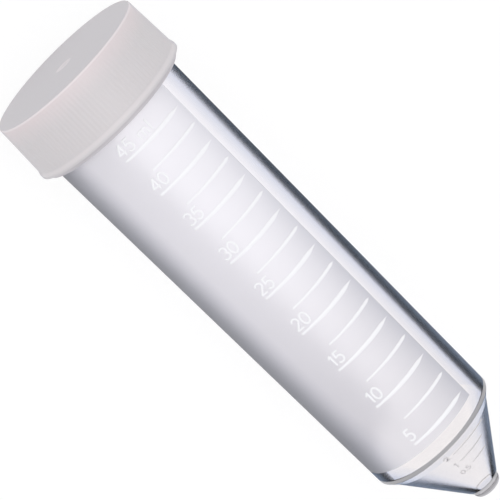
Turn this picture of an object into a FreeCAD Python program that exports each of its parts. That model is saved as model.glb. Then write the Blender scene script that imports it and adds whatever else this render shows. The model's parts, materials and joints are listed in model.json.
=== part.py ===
import FreeCAD, Part

import math
import os

# 50 ml conical centrifuge tube with its screw cap, in millimetres.
#
# Both mouldings are built standing on the tube's own axis: Z runs from the tip (z = 0) to the cap, and the
# graduations face -Y. The closed tube is then laid on its side, as it comes to rest on a bench: on the lip
# of the cap and on the shoulder above the cone, with the cap towards -X and the tip towards +X. The origin
# is on the bench, under the middle of the tube's length.

# Tube, outside
TUBE_LENGTH = 116.3          # from the end of the tip to the rim of the mouth
SHOULDER_RADIUS = 14.0       # body radius at its lower end
BODY_DRAFT = 0.42            # degrees a side, the body widens towards the cap
SHOULDER_INSET = 1.5         # how far the bevel under the body comes in before the cone starts
SHOULDER_BEVEL = 42.0        # degrees from the axis
SHOULDER_ROUND = 0.8         # radius of the edge between body and bevel
CONE_ANGLE = 34.0            # degrees from the axis
TIP_RADIUS = 3.1             # radius where the cone ends
TIP_LENGTH = 1.35            # height of the blunt end below the cone
TIP_ROUND = 1.2              # radius of its edge

# Tube, inside
NECK_WALL = 0.93             # wall between the mouth and the root of the neck
CAVITY_DRAFT = 0.97          # degrees a side, more than outside: the wall thickens towards the tip
CONE_WALL = 1.3              # square to the cone's surface
TIP_FLOOR = 2.0              # thickness under the lowest point of the cavity
MOUTH_DEPTH = 6.0            # straight stretch at the mouth that the cap's plug seals in
RIM_BEVEL = 0.25             # on the mouth's two edges

# Neck, which the cap screws onto
NECK_STEP = 0.1              # how far the neck stands back from the body
NECK_COVER = 0.8             # how far the closed cap reaches down over the body

# Moulded graduations: arcs that stand proud of the front of the tube
MAJOR_ML = [5, 10, 15, 20, 25, 30, 35, 40, 45]
MINOR_ML = [7.5, 12.5, 17.5, 22.5, 27.5, 32.5, 37.5, 42.5]
CONE_ML = [0.5, 1, 2]
LINE_RIGHT = 40.0            # degrees from the middle of the front to the right end of every body line
MAJOR_LEFT = -18.0           # and to the left end of the numbered ones
MINOR_LEFT = -9.0
CONE_LINE_LEFT = -2.0
CONE_LINE_RIGHT = 36.0
MAJOR_WIDTH = 0.7
MINOR_WIDTH = 0.5
CONE_LINE_WIDTH = 0.25
LINE_HEIGHT = 0.12           # how far a line stands proud
LINE_ROOT = 0.3              # how deep it reaches into the wall, so that it is one moulding with it

# Cap
CAP_HEIGHT = 12.95
CAP_TOP = 1.7                # thickness of the flat top
CAP_GAP = 0.15               # between the rim of the mouth and the underside of the top
THREAD_ROOM = 1.15           # between the neck's root and the cap's bore, where the two threads mesh
BORE_DRAFT = 1.0             # degrees a side, the bore widens towards the cap's mouth
SKIRT_WALL = 0.85            # between the bore and the bottom of the grip ribs, under the top
RIB_HEIGHT = 0.2
RIB_PITCH = 0.88             # round the skirt
RIB_SHOULDER = 1.0           # plain band between the cap's edge and the ribs
SKIRT_DRAFT = 2.4            # degrees a side, outside
LIP_HEIGHT = 2.3             # plain flared band at the cap's mouth
LIP_FLARE = 0.25             # how far it stands out past the crests of the ribs
LIP_RAMP = 0.8               # height over which the ribs run out into it
LIP_BEVEL = 0.5              # on its lower edge
CAP_EDGE_BEVEL = 0.6         # between top and skirt
PLUG_CLEARANCE = 0.15        # between the plug and the bore of the mouth
PLUG_WALL = 0.9
PLUG_DEPTH = 2.6
PLUG_LEAD = 0.4              # bevel that guides it into the mouth
TOP_ROOT = 0.8               # how deep plug and sprue reach into the top, so that all is one moulding
GATE_RADIUS = 2.1            # shallow dimple where the cap was injected
GATE_DEPTH = 0.25
GATE_STUB_RADIUS = 0.5       # what is left of the sprue in its middle
GATE_STUB_HEIGHT = 0.15

# How it lies
FRONT_TURN = 80.0            # degrees that the graduations face above the horizon


def slope(degrees):
    """Radial change for each millimetre along the axis, on a surface at this angle from it."""
    return math.tan(math.radians(degrees))


# Heights and radii that follow from the sizes above.
KNEE_RADIUS = SHOULDER_RADIUS - SHOULDER_INSET
KNEE_Z = TIP_LENGTH + (KNEE_RADIUS - TIP_RADIUS) / slope(CONE_ANGLE)
SHOULDER_Z = KNEE_Z + SHOULDER_INSET / slope(SHOULDER_BEVEL)
CAP_TOP_Z = TUBE_LENGTH + CAP_GAP + CAP_TOP
CAP_MOUTH_Z = CAP_TOP_Z - CAP_HEIGHT
NECK_Z = CAP_MOUTH_Z + NECK_COVER
BODY_TOP_RADIUS = SHOULDER_RADIUS + (NECK_Z - SHOULDER_Z) * slope(BODY_DRAFT)
NECK_RADIUS = BODY_TOP_RADIUS - NECK_STEP
MOUTH_RADIUS = NECK_RADIUS - NECK_WALL
SEAT_Z = TUBE_LENGTH - MOUTH_DEPTH


def cavity_body_radius(z):
    """Radius of the drafted part of the cavity, which ends at the straight mouth."""
    return MOUTH_RADIUS - (SEAT_Z - z) * slope(CAVITY_DRAFT)


def cavity_cone_radius(z):
    """Radius of the cavity's cone, which runs parallel to the outside."""
    outside = TIP_RADIUS + (z - TIP_LENGTH) * slope(CONE_ANGLE)
    return outside - CONE_WALL / math.cos(math.radians(CONE_ANGLE))


# The cavity's cone and its body are straight lines in section, and meet where their radii are equal.
CAVITY_KNEE_Z = ((cavity_body_radius(0) - cavity_cone_radius(0))
                 / (slope(CONE_ANGLE) - slope(CAVITY_DRAFT)))
# Sharp section of the cavity, from its lowest point to the rim of the mouth, as (radius, height).
CAVITY = [
    (cavity_cone_radius(TIP_FLOOR), TIP_FLOOR),
    (cavity_cone_radius(CAVITY_KNEE_Z), CAVITY_KNEE_Z),
    (MOUTH_RADIUS, SEAT_Z),
    (MOUTH_RADIUS, TUBE_LENGTH),
]


def rounded_outline(corners):
    """Closed outline in the XZ plane. A corner is (x, z) or (x, z, radius of its rounding)."""
    starts, ends, rounds = [], [], []
    for i, corner in enumerate(corners):
        here = FreeCAD.Vector(corner[0], 0, corner[1])
        before = FreeCAD.Vector(corners[i - 1][0], 0, corners[i - 1][1]) - here
        following = corners[(i + 1) % len(corners)]
        after = FreeCAD.Vector(following[0], 0, following[1]) - here
        radius = corner[2] if len(corner) > 2 else 0
        if not radius:
            starts.append(here)
            ends.append(here)
            rounds.append(None)
            continue
        half = before.getAngle(after) / 2
        before.normalize()
        after.normalize()
        inwards = (before + after).normalize()
        middle = here + inwards * (radius / math.sin(half) - radius)
        starts.append(here + before * (radius / math.tan(half)))
        ends.append(here + after * (radius / math.tan(half)))
        rounds.append(middle)
    edges = []
    for i in range(len(corners)):
        if rounds[i]:
            edges.append(Part.Arc(starts[i], rounds[i], ends[i]).toShape())
        edges.append(Part.makeLine(ends[i], starts[(i + 1) % len(corners)]))
    return Part.Wire(edges)


def turned(corners, degrees=360):
    """Solid of revolution about the Z axis with this outline as its section."""
    section = Part.Face(rounded_outline(corners))
    return section.revolve(FreeCAD.Vector(0, 0, 0), FreeCAD.Vector(0, 0, 1), degrees)


def cavity_volume(z):
    """Millilitres that the cavity holds up to height z."""
    total = 0.0
    for (low_radius, low_z), (high_radius, high_z) in zip(CAVITY, CAVITY[1:]):
        if z <= low_z:
            break
        top_z = min(z, high_z)
        top_radius = low_radius + (high_radius - low_radius) * (top_z - low_z) / (high_z - low_z)
        squares = low_radius ** 2 + low_radius * top_radius + top_radius ** 2
        total += math.pi * (top_z - low_z) * squares / 3
    return total / 1000


def graduation_height(millilitres):
    """Height at which the cavity holds this much, found by halving the range."""
    low, high = TIP_FLOOR, TUBE_LENGTH
    for _ in range(40):
        middle = (low + high) / 2
        if cavity_volume(middle) < millilitres:
            low = middle
        else:
            high = middle
    return low


def outside_surface(z):
    """Radius of the tube's outside at height z, and its angle from the axis in degrees."""
    if z < KNEE_Z:
        return TIP_RADIUS + (z - TIP_LENGTH) * slope(CONE_ANGLE), CONE_ANGLE
    if z < SHOULDER_Z:
        return KNEE_RADIUS + (z - KNEE_Z) * slope(SHOULDER_BEVEL), SHOULDER_BEVEL
    return SHOULDER_RADIUS + (z - SHOULDER_Z) * slope(BODY_DRAFT), BODY_DRAFT


def graduation_line(millilitres, width, left, right):
    """Raised arc round the front of the tube, square in section, with its root in the wall."""
    z = graduation_height(millilitres)
    radius, angle = outside_surface(z)
    lean = math.radians(angle)
    corners = []
    for along, proud in ((-0.5, -LINE_ROOT), (0.5, -LINE_ROOT), (0.5, LINE_HEIGHT), (-0.5, LINE_HEIGHT)):
        x = radius + along * width * math.sin(lean) + proud * math.cos(lean)
        corners.append((x, z + along * width * math.cos(lean) - proud * math.sin(lean)))
    line = turned(corners, right - left)
    line.rotate(FreeCAD.Vector(0, 0, 0), FreeCAD.Vector(0, 0, 1), left - 90)
    return line


def graduations():
    lines = [graduation_line(ml, MAJOR_WIDTH, MAJOR_LEFT, LINE_RIGHT) for ml in MAJOR_ML]
    lines += [graduation_line(ml, MINOR_WIDTH, MINOR_LEFT, LINE_RIGHT) for ml in MINOR_ML]
    lines += [graduation_line(ml, CONE_LINE_WIDTH, CONE_LINE_LEFT, CONE_LINE_RIGHT) for ml in CONE_ML]
    return lines


def make_tube():
    """Drafted body with its bevelled shoulder, cone and blunt tip, its neck, and the graduations."""
    floor, knee, seat = CAVITY[:3]
    shell = turned([
        (0, 0),
        (TIP_RADIUS, 0, TIP_ROUND),
        (TIP_RADIUS, TIP_LENGTH),
        (KNEE_RADIUS, KNEE_Z),
        (SHOULDER_RADIUS, SHOULDER_Z, SHOULDER_ROUND),
        (BODY_TOP_RADIUS, NECK_Z),
        (NECK_RADIUS, NECK_Z + NECK_STEP),
        (NECK_RADIUS, TUBE_LENGTH - RIM_BEVEL),
        (NECK_RADIUS - RIM_BEVEL, TUBE_LENGTH),
        (MOUTH_RADIUS + RIM_BEVEL, TUBE_LENGTH),
        (MOUTH_RADIUS, TUBE_LENGTH - RIM_BEVEL),
        seat,
        knee,
        floor,
        (0, TIP_FLOOR),
    ])
    return shell.multiFuse(graduations()).removeSplitter().Solids[0]


# The cap is worked out from its bore outwards, so that it follows the neck.
BORE_RADIUS = NECK_RADIUS + THREAD_ROOM
RIB_TOP_Z = CAP_TOP_Z - RIB_SHOULDER
RIB_BASE_Z = CAP_MOUTH_Z + LIP_HEIGHT
CREST_RADIUS = BORE_RADIUS + SKIRT_WALL + RIB_HEIGHT


def crest_radius(z):
    """Radius of the smooth surface through the crests of the grip ribs."""
    return CREST_RADIUS + (RIB_TOP_Z - z) * slope(SKIRT_DRAFT)


LIP_RADIUS = crest_radius(RIB_BASE_Z) + LIP_FLARE


def rib_star(z):
    """Outline of the ribbed skirt at height z: one crest and one root for each rib."""
    count = round(2 * math.pi * crest_radius(RIB_BASE_Z) / RIB_PITCH)
    points = []
    for i in range(2 * count):
        radius = crest_radius(z) - (RIB_HEIGHT if i % 2 else 0)
        angle = math.pi * i / count
        points.append(FreeCAD.Vector(radius * math.cos(angle), radius * math.sin(angle), z))
    return Part.makePolygon(points + points[:1])


def grip_ribs():
    """Ring of fine upright ribs, which stands in the groove that the cap's shell leaves for it."""
    low, high = RIB_BASE_Z, RIB_TOP_Z
    outside = Part.makeLoft([rib_star(low), rib_star(high)], True, True)
    inner = [crest_radius(z) - 2 * RIB_HEIGHT for z in (low, high)]
    core = Part.makeCone(inner[0], inner[1], high - low, FreeCAD.Vector(0, 0, low))
    return outside.cut(core)


def cap_shell():
    """Flat top and skirt in one, with a groove where the ribs stand and a flared lip at the mouth."""
    ceiling = CAP_TOP_Z - CAP_TOP
    bore_mouth = BORE_RADIUS + (ceiling - CAP_MOUTH_Z) * slope(BORE_DRAFT)
    groove = 1.5 * RIB_HEIGHT
    return turned([
        (0, CAP_TOP_Z),
        (crest_radius(CAP_TOP_Z) - CAP_EDGE_BEVEL, CAP_TOP_Z),
        (crest_radius(CAP_TOP_Z - CAP_EDGE_BEVEL), CAP_TOP_Z - CAP_EDGE_BEVEL),
        (crest_radius(RIB_TOP_Z), RIB_TOP_Z),
        (crest_radius(RIB_TOP_Z) - groove, RIB_TOP_Z),
        (crest_radius(RIB_BASE_Z) - groove, RIB_BASE_Z),
        (crest_radius(RIB_BASE_Z), RIB_BASE_Z),
        (LIP_RADIUS, RIB_BASE_Z - LIP_RAMP),
        (LIP_RADIUS, CAP_MOUTH_Z + LIP_BEVEL),
        (LIP_RADIUS - LIP_BEVEL, CAP_MOUTH_Z),
        (bore_mouth, CAP_MOUTH_Z),
        (BORE_RADIUS, ceiling),
        (0, ceiling),
    ])


def plug():
    """Ring under the top that seals in the mouth of the tube."""
    outer = MOUTH_RADIUS - PLUG_CLEARANCE
    ceiling = CAP_TOP_Z - CAP_TOP
    return turned([
        (outer - PLUG_WALL, ceiling + TOP_ROOT),
        (outer, ceiling + TOP_ROOT),
        (outer, ceiling - PLUG_DEPTH + PLUG_LEAD),
        (outer - PLUG_LEAD, ceiling - PLUG_DEPTH),
        (outer - PLUG_WALL, ceiling - PLUG_DEPTH),
    ])


def make_screw_cap():
    """Top, skirt, ribs and plug are one moulding, with the injection mark in the middle of the top."""
    dimple_z = CAP_TOP_Z - GATE_DEPTH
    dimple = Part.makeCylinder(GATE_RADIUS, GATE_DEPTH, FreeCAD.Vector(0, 0, dimple_z))
    stub = Part.makeCylinder(GATE_STUB_RADIUS, TOP_ROOT + GATE_STUB_HEIGHT,
                             FreeCAD.Vector(0, 0, dimple_z - TOP_ROOT))
    body = cap_shell().cut(dimple)
    return body.multiFuse([grip_ribs(), plug(), stub]).removeSplitter().Solids[0]


def shoulder_round_centre():
    """Centre, as (radius, height), of the round between the body and the bevel below it."""
    half_turn = math.radians(SHOULDER_BEVEL - BODY_DRAFT) / 2
    lean = math.radians(BODY_DRAFT)
    along = SHOULDER_ROUND * math.tan(half_turn)
    radius = SHOULDER_RADIUS + along * math.sin(lean) - SHOULDER_ROUND * math.cos(lean)
    return radius, SHOULDER_Z + along * math.cos(lean) + SHOULDER_ROUND * math.sin(lean)


def resting_tilt():
    """Radians that the axis rises towards the cap, resting on the lip's edge and the shoulder's round."""
    radius, z = shoulder_round_centre()
    rise = LIP_RADIUS - radius
    run = CAP_MOUTH_Z + LIP_BEVEL - z
    return math.atan2(rise, run) - math.asin(SHOULDER_ROUND / math.hypot(rise, run))


def resting_place():
    """Turn the graduations up, tip the tube onto its side and set it on the bench over the origin."""
    tilt = resting_tilt()
    radius, z = shoulder_round_centre()
    tip_height = SHOULDER_ROUND + radius * math.cos(tilt) - z * math.sin(tilt)
    cap_end = CAP_TOP_Z * math.cos(tilt) + (crest_radius(CAP_TOP_Z) - CAP_EDGE_BEVEL) * math.sin(tilt)
    tip_end = TIP_ROUND * (1 - math.cos(tilt)) + (TIP_RADIUS - TIP_ROUND) * math.sin(tilt)
    face_up = FreeCAD.Rotation(FreeCAD.Vector(0, 0, 1), FRONT_TURN)
    tip_over = FreeCAD.Rotation(FreeCAD.Vector(0, 1, 0), math.degrees(tilt) - 90)
    base = FreeCAD.Vector((cap_end - tip_end) / 2, 0, tip_height)
    return FreeCAD.Placement(base, tip_over.multiply(face_up))


def main():
    os.makedirs("parts", exist_ok=True)
    for name, shape in (("tube", make_tube()), ("screw_cap", make_screw_cap())):
        shape.Placement = resting_place()
        shape.exportStep(f"parts/{name}.step")


if __name__ == "__main__":
    main()
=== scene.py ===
import json
from math import ceil, cos, pi, radians, sin, tan, tau

import bmesh
import bpy
from bpy.props import FloatProperty, FloatVectorProperty, IntProperty, PointerProperty, StringProperty
from mathutils import Matrix, Vector


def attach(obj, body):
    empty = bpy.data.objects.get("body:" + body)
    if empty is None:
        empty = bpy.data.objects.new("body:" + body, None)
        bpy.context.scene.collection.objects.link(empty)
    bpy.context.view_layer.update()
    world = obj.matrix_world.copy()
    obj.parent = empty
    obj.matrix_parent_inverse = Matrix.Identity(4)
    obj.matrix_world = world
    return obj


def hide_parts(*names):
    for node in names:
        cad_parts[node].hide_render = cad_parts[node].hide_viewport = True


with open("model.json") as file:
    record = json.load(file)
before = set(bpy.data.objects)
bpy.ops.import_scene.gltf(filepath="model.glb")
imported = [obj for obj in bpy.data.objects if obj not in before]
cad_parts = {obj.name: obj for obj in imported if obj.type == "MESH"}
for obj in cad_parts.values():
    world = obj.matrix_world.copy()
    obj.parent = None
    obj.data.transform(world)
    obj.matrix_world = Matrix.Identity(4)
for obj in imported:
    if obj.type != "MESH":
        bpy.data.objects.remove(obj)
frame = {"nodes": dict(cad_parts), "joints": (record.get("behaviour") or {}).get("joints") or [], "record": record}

bl_info = {
    "name": "50 ml conical tube",
    "version": (1, 0, 0),
    "blender": (4, 5, 0),
    "location": "3D View > Sidebar > Conical Tube",
    "description": "Graduated conical tube of clear plastic with its ribbed screw cap, over its CAD frame",
    "category": "Object",
}

MM = 0.001
FRONT_TURN = radians(80)    # the middle of the graduations faces this far above the horizon
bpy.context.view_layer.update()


# The tube's own axes, in the frame: its tip, the way to the cap, and the front that carries the graduations.

UP = Vector(frame["joints"][0]["axis"]).normalized()


def reach(node, origin):
    """Lowest and highest place of a CAD node along the tube's axis, measured from a point."""
    along = [(v.co - origin).dot(UP) for v in frame["nodes"][node].data.vertices]
    return min(along), max(along)


AXIS_POINT = Vector(next(m for m in frame["record"]["mounts"] if m["name"] == "rack_fit")["pos_m"])
TIP = AXIS_POINT + UP * reach("tube", AXIS_POINT)[0]
LEVEL = Vector((0, 1, 0))
FRONT = sin(FRONT_TURN) * LEVEL.cross(UP) - cos(FRONT_TURN) * LEVEL
RIGHT = UP.cross(FRONT).normalized()
PLACE = Matrix.Translation(TIP) @ Matrix((RIGHT, -FRONT, UP)).transposed().to_4x4()

TUBE_LENGTH = reach("tube", TIP)[1]
CAP_BOTTOM, CAP_TOP = reach("screw_cap", TIP)


# Settings

def size(name, description, millimetres):
    return FloatProperty(name=name, description=description, default=millimetres * MM, precision=5,
                         unit="LENGTH")


def turn(name, description, degrees):
    return FloatProperty(name=name, description=description, default=radians(degrees), subtype="ANGLE")


def share(name, description, value):
    return FloatProperty(name=name, description=description, default=value, min=0, max=1, subtype="FACTOR")


def count(name, description, value):
    return IntProperty(name=name, description=description, default=value, min=4)


def colour(name, description, value):
    return FloatVectorProperty(name=name, description=description, default=value, size=3, min=0, max=1,
                               subtype="COLOR")


ABOVE_TIP, FROM_FRONT = "Above the tip of the tube", "From the middle of the front"


class TubeSettings(bpy.types.PropertyGroup):
    shoulder_radius: size("Shoulder radius", "Body radius at its lower end", 14.0)
    body_draft: turn("Body draft", "Draft of the outside, a side", 0.42)
    shoulder_inset: size("Shoulder inset", "How far the bevel under the body comes in", 1.5)
    shoulder_bevel: turn("Shoulder bevel", "Angle of the bevel from the axis", 42)
    shoulder_round: size("Shoulder round", "Between body and bevel", 0.35)
    cone_angle: turn("Cone angle", "Angle of the cone from the axis", 34)
    tip_radius: size("Tip radius", "Radius where the cone ends", 3.1)
    tip_length: size("Tip length", "Height of the blunt end below the cone", 1.35)
    tip_round: size("Tip round", "At the edge of the blunt end", 1.2)
    neck_cover: size("Neck cover", "How far the closed cap reaches over the body", 0.8)
    neck_step: size("Neck step", "How far the neck stands back from the body", 0.1)
    neck_wall: size("Neck wall", "Its thickness at the mouth", 0.93)
    rim_round: size("Rim round", "At both edges of the mouth", 0.25)
    cavity_draft: turn("Cavity draft", "Draft of the inside, a side", 0.97)
    cone_wall: size("Cone wall", "Its thickness", 1.5)
    tip_floor: size("Tip floor", "Under the lowest point of the cavity", 2.0)
    cavity_round: size("Cavity round", "Between the cavity's cone and its body", 0.4)
    mouth_depth: size("Mouth depth", "Straight stretch that the cap's plug seals in", 6.0)
    thread_height: size("Thread height", "How far the thread stands out from the neck", 0.6)
    segments: count("Segments", "Facets round the tube", 480)


class CapSettings(bpy.types.PropertyGroup):
    thread_room: size("Thread room", "Between the neck and the bore of the cap", 1.15)
    bore_draft: turn("Bore draft", "Draft of the bore, a side", 1.0)
    skirt_wall: size("Skirt wall", "From the bore to the roots of the ribs, under the top", 0.98)
    top: size("Top", "Its thickness", 1.7)
    skirt_draft: turn("Skirt draft", "Draft of the outside, a side", 2.4)
    rib_height: size("Rib height", "How far the grip ribs stand out", 0.055)
    rib_pitch: size("Rib pitch", "From one grip rib to the next", 0.88)
    rib_shoulder: size("Rib shoulder", "Plain band above the ribs", 1.0)
    edge_round: size("Edge round", "Between the top and the skirt", 0.4)
    lip_height: size("Lip height", "Plain flared band at the mouth of the cap", 2.3)
    lip_flare: size("Lip flare", "How far it stands out past the ribs", 0.25)
    lip_ramp: size("Lip ramp", "Height over which the ribs run out into the lip", 0.8)
    lip_round: size("Lip round", "At its lower edge", 0.9)
    plug_clearance: size("Plug clearance", "Between the plug ring and the mouth of the tube", 0.15)
    plug_wall: size("Plug wall", "Its thickness", 0.9)
    plug_depth: size("Plug depth", "Its height", 2.6)
    gate_radius: size("Gate radius", "Radius of the injection mark on the top", 2.1)
    gate_depth: size("Gate depth", "Depth of the injection mark", 0.14)
    thread_height: size("Thread height", "How far the thread stands into the bore", 0.45)
    facets_per_rib: count("Facets per rib", "Facets round one grip rib", 6)


class ThreadSettings(bpy.types.PropertyGroup):
    pitch: size("Pitch", "Rise of the thread in one turn", 3.2)
    low: size("Low end", ABOVE_TIP, 107.4)
    high: size("High end", ABOVE_TIP, 114.6)
    fade: size("Run-out", "Height over which the thread runs out at each end", 0.9)
    step: size("Step", "Height of one facet of the thread", 0.3)


class MarkSettings(bpy.types.PropertyGroup):
    line_right: turn("Right end of the body's lines", FROM_FRONT, 40)
    major_left: turn("Left end of numbered lines", FROM_FRONT, -18)
    minor_left: turn("Left end of plain lines", FROM_FRONT, -9)
    cone_left: turn("Left end on the cone", FROM_FRONT, -2)
    cone_right: turn("Right end on the cone", FROM_FRONT, 36)
    major_width: size("Numbered line", "Its width", 0.85)
    minor_width: size("Plain line", "Its width", 0.65)
    major_point: share("Point of a numbered line", "Share of its length that narrows at the right", 0.2)
    minor_point: share("Point of a plain line", "Share of its length that narrows at the right", 0.08)
    cone_width: size("Cone line", "Its width", 0.42)
    half_left: turn("Left end of the lowest line", FROM_FRONT, 8)
    proud: size("Height", "How far lines and numbers stand out", 0.12)
    root: size("Root", "How deep they reach into the wall", 0.05)
    digit_height: size("Digit height", "Height of the numbers on the body", 2.5)
    digit_stroke: size("Digit stroke", "Width of a stroke of a number", 0.42)
    digit_gap: size("Digit gap", "Between a line and the foot of its number", 0.25)
    cone_proud: size("Height on the cone", "How far lines and numbers stand out on the cone", 0.08)
    cone_digit_height: size("Digit height on the cone", "Height of the numbers on the cone", 1.8)
    cone_stroke: size("Digit stroke on the cone", "Width of a stroke of a number on the cone", 0.28)
    cone_digit_gap: size("Digit gap on the cone", "Between a number and its line", 0.8)
    unit: StringProperty(name="Unit", description="Written after the highest number", default="ml")


class FinishSettings(bpy.types.PropertyGroup):
    plastic: colour("Clear wall", "Where it is seen square on", (0.98, 0.97, 0.97))
    # The clear wall is brighter towards the cap
    plastic_thin: colour("Clear wall, top", "Near the cap, where it is thin", (0.995, 0.99, 1.0))
    # Painted shade: the clear wall is tinted darker and cooler to this where it is seen along
    plastic_along: colour("Clear wall, along", "Where it is seen along", (0.87, 0.88, 0.92))
    # Painted reflection: the gleam of the clear wall where it is seen along is tinted this cool blue
    plastic_gleam: colour("Gleam", "What the clear wall mirrors where it is seen along", (0.52, 0.63, 0.84))
    thick_gleam: colour("Sheen", "What the clear wall mirrors where it is seen square on", (0.75, 0.74, 0.75))
    # Painted shade: grey on the edge of the shoulder and on the blunt tip, standing in for the dark that the thick
    # plastic shows there
    thick: colour("Thick plastic", "The edge of the shoulder and the blunt tip", (0.5, 0.49, 0.5))
    frost: colour("Satin panel", "The panel behind the graduations", (0.81, 0.8, 0.83))
    # The satin panel is brighter towards the cap
    frost_thin: colour("Satin panel, top", "Near the cap, where the wall is thin", (0.945, 0.935, 0.96))
    # Painted shade: the satin panel darkens to this where it is seen along and towards its right
    frost_edge: colour("Satin panel, sides", "Where it is seen along", (0.5, 0.51, 0.56))
    marks: colour("Marks", "Raised lines and numbers", (0.98, 0.98, 0.99))
    # Painted shade: the fine lines on the cone are given this grey, the dark that their ridges show in clear
    # plastic
    cone_marks: colour("Marks on the cone", "Fine lines and numbers on the clear cone", (0.68, 0.65, 0.65))
    cone_marks_dark: colour("Marks on the cone, specks", "The darkest specks in them", (0.6, 0.58, 0.58))
    cap: colour("Cap", "The cap", (0.67, 0.64, 0.64))
    # Painted light: the skirt under the top is made warmer and paler with this
    cap_warm: colour("Cap, warm", "Its skirt under the top, where light comes through", (0.74, 0.67, 0.67))
    # Painted highlight along the top edge and up the lip ramp; the gate mark is paler with it too
    cap_edge: colour("Cap, edges", "Its edges, where the light gets in", (0.88, 0.82, 0.82))
    # Painted shade: the face, the lip band and where the cap is seen along darken towards this
    cap_shade: colour("Cap, shade", "Its face and lip, where the wall is thick", (0.56, 0.54, 0.57))
    panel_right: turn("Panel, right edge", FROM_FRONT, 44)
    panel_left: turn("Panel, left edge", FROM_FRONT, -166)
    panel_low: size("Panel, lower edge", ABOVE_TIP, 20.3)


class StageSettings(bpy.types.PropertyGroup):
    paper: colour("Floor", "Colour of the floor", (1.0, 1.0, 1.0))
    paper_glow: FloatProperty(name="Floor glow", description="Its brightness where it is seen", default=1.025)
    lamp: colour("Lamps", "Colour of the lamps", (1.0, 0.965, 0.955))
    sky: colour("Sky", "The soft light all round", (0.7, 0.71, 0.74))
    camera_distance: size("Camera distance", "From the camera to the tube's axis", 550)
    camera_rise: turn("Camera rise", "How far the view is tipped towards the cap", 15.67)
    camera_roll: turn("Camera roll", "How far the tube lies below level in the picture", 44.716)
    aim_height: size("Aim", "Place on the tube's axis that the camera looks at, above the tip", 68.07)
    lens: FloatProperty(name="Lens", description="Focal length of the camera", default=210.6, unit="CAMERA")


# Sections, as rows of (radius, height, thread, rib). The last two say how high the thread and the ribs stand.

FINE_EDGE, SMALL_EDGE, SOFT_EDGE, BROAD_EDGE = 0.1 * MM, 0.2 * MM, 0.3 * MM, 0.4 * MM
FLOOR_ROUND = 0.8 * MM    # where the cavity's cone meets its floor
ARC_LEAD = 0.15 * MM      # a row this far from each end of an arc keeps its shading off the flats
SAME_PLACE = 0.01 * MM


def rounded(corners, steps=8):
    """Rows (radius, height) through corners (radius, height, round), with an arc at each round."""
    rows = []
    for i, (x, z, radius) in enumerate(corners):
        here = Vector((x, z))
        if not radius:
            rows.append(here)
            continue
        before = (Vector(corners[i - 1][:2]) - here).normalized()
        after = (Vector(corners[i + 1][:2]) - here).normalized()
        half = before.angle(after) / 2
        middle = here + (before + after).normalized() * (radius / sin(half))
        start = here + before * (radius / tan(half)) - middle
        sweep = pi - 2 * half
        if start.x * after.y - start.y * after.x < 0:
            sweep = -sweep
        lead = min(ARC_LEAD, radius)
        rows.append(middle + start + before * lead)
        rows += [middle + Matrix.Rotation(sweep * k / steps, 2) @ start for k in range(steps + 1)]
        rows.append(rows[-1] + after * lead)
    return rows


def stepped(rows, low, high, step):
    """The same rows, with more of them on steep stretches between two heights, no further apart than step."""
    result = rows[:1]
    for here in rows[1:]:
        last = result[-1]
        rise = here.y - last.y
        steep = abs(rise) > abs(here.x - last.x)
        if steep and min(here.y, last.y) < high and max(here.y, last.y) > low:
            inside = sorted(min(max(z, low), high) for z in (last.y, here.y))
            count = max(1, ceil((inside[1] - inside[0]) / step))
            heights = [inside[0] + (inside[1] - inside[0]) * k / count for k in range(count + 1)]
            for z in (heights if rise > 0 else reversed(heights)):
                point = last.lerp(here, (z - last.y) / rise)
                if min((point - result[-1]).length, (point - here).length) > SAME_PLACE:
                    result.append(point)
        result.append(here)
    return result


def window(z, low, high, fade):
    """1 between two heights, falling smoothly to 0 over the fade at each end."""
    t = min(max(min(z - low, high - z) / fade, 0), 1)
    return t * t * (3 - 2 * t)


def shoulder_heights(tube):
    """Where the cone ends and where the body starts, with the bevel between them."""
    knee_radius = tube.shoulder_radius - tube.shoulder_inset
    knee = tube.tip_length + (knee_radius - tube.tip_radius) / tan(tube.cone_angle)
    return knee, knee + tube.shoulder_inset / tan(tube.shoulder_bevel)


def tube_outside_radius(z, tube):
    """Radius of the outside of the cone or the body at a height."""
    knee, shoulder = shoulder_heights(tube)
    if z < knee:
        return tube.tip_radius + (z - tube.tip_length) * tan(tube.cone_angle)
    return tube.shoulder_radius + (z - shoulder) * tan(tube.body_draft)


def neck_radius(tube):
    return tube_outside_radius(CAP_BOTTOM + tube.neck_cover, tube) - tube.neck_step


def mouth_radius(tube):
    return neck_radius(tube) - tube.neck_wall


def tube_section(tube, thread):
    """Rows round the whole wall, from the middle of the tip to the cavity's floor."""
    knee, shoulder = shoulder_heights(tube)
    neck = CAP_BOTTOM + tube.neck_cover
    mouth = mouth_radius(tube)
    cone, body, seat, floor = cavity(tube)
    rows = rounded([
        (0, 0, 0),
        (tube.tip_radius, 0, tube.tip_round),
        (tube.tip_radius, tube.tip_length, SOFT_EDGE),
        (tube.shoulder_radius - tube.shoulder_inset, knee, BROAD_EDGE),
        (tube.shoulder_radius, shoulder, tube.shoulder_round),
        (tube_outside_radius(neck, tube), neck, 0),
        (neck_radius(tube), neck + tube.neck_step, 0),
        (neck_radius(tube), TUBE_LENGTH, tube.rim_round),
        (mouth, TUBE_LENGTH, tube.rim_round),
        (mouth, seat, 0),
        (*body, tube.cavity_round),
        (*cone, FLOOR_ROUND),
        (0, floor, 0),
    ])
    outside = max(range(len(rows)), key=lambda i: rows[i].y)
    rows = stepped(rows[:outside], thread.low, thread.high, thread.step) + rows[outside:]

    def thread_at(x, z):
        on_neck = x > mouth + tube.neck_wall / 2
        return tube.thread_height * window(z, thread.low, thread.high, thread.fade) if on_neck else 0

    return [(x, z, thread_at(x, z), 0) for x, z in rows]


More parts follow.
